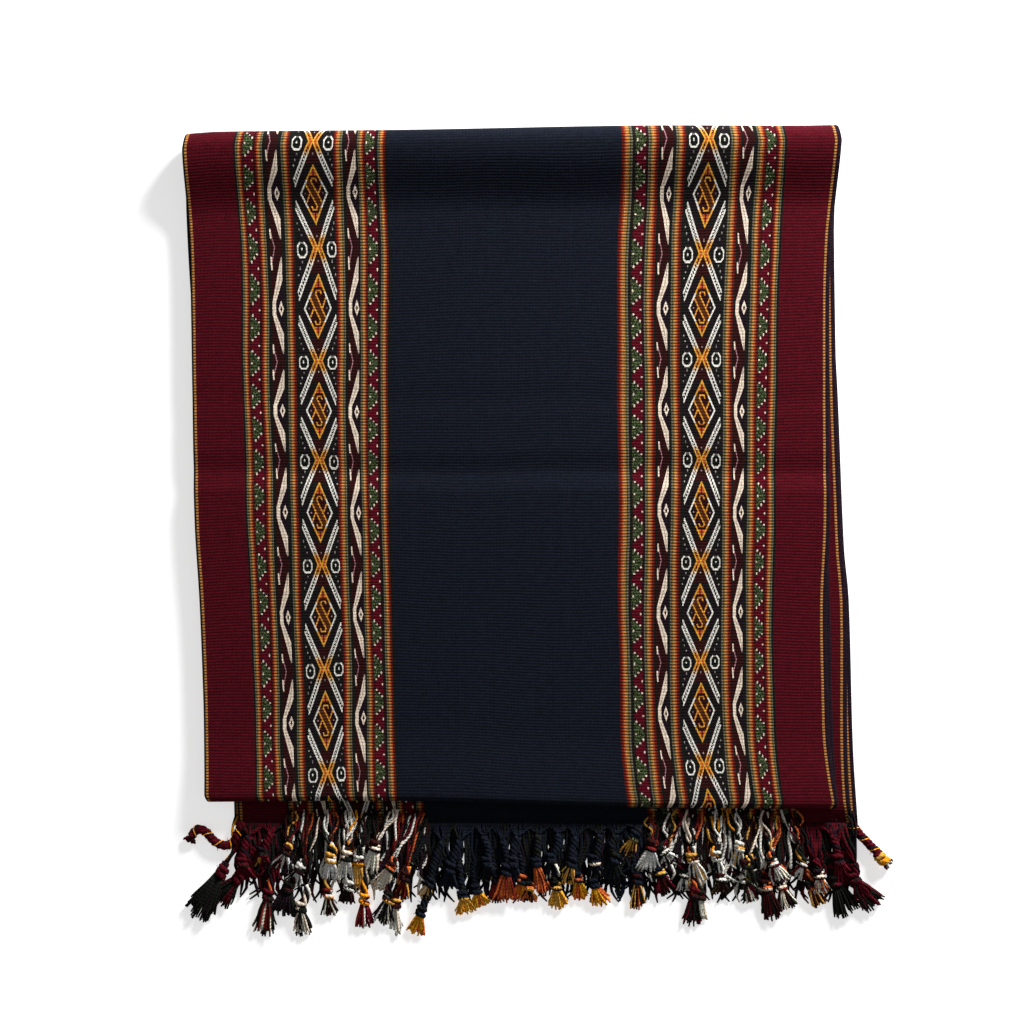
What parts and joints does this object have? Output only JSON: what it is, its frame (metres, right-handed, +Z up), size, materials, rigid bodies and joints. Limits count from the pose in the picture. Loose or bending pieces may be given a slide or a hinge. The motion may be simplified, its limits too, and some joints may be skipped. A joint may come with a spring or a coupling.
{
  "type": "folded handwoven wool textile",
  "caption": "Warp-faced handwoven wool carrying cloth folded in four layers, with striped and patterned bands and a knotted fringe at both ends.",
  "frame": {"origin": "on the resting face of the lowest layer, under the middle of the folded cloth's layers", "axes": "+Z up from the surface it lies on, +Y towards the outer fold, the fringed ends towards -Y, +X to the right seen from above with the outer fold at the top"},
  "size_m": [0.4571, 0.5229, 0.0215],
  "materials": {
    "woven_wool": "matt warp-faced wool weave, fine crosswise ribs",
    "fringe_yarn": "plied wool yarn, slightly hairy"
  },
  "bodies": {
    "root": {"cloth": "woven_wool", "fringe_upper_end": "fringe_yarn", "fringe_lower_end": "fringe_yarn"}
  },
  "joints": []
}
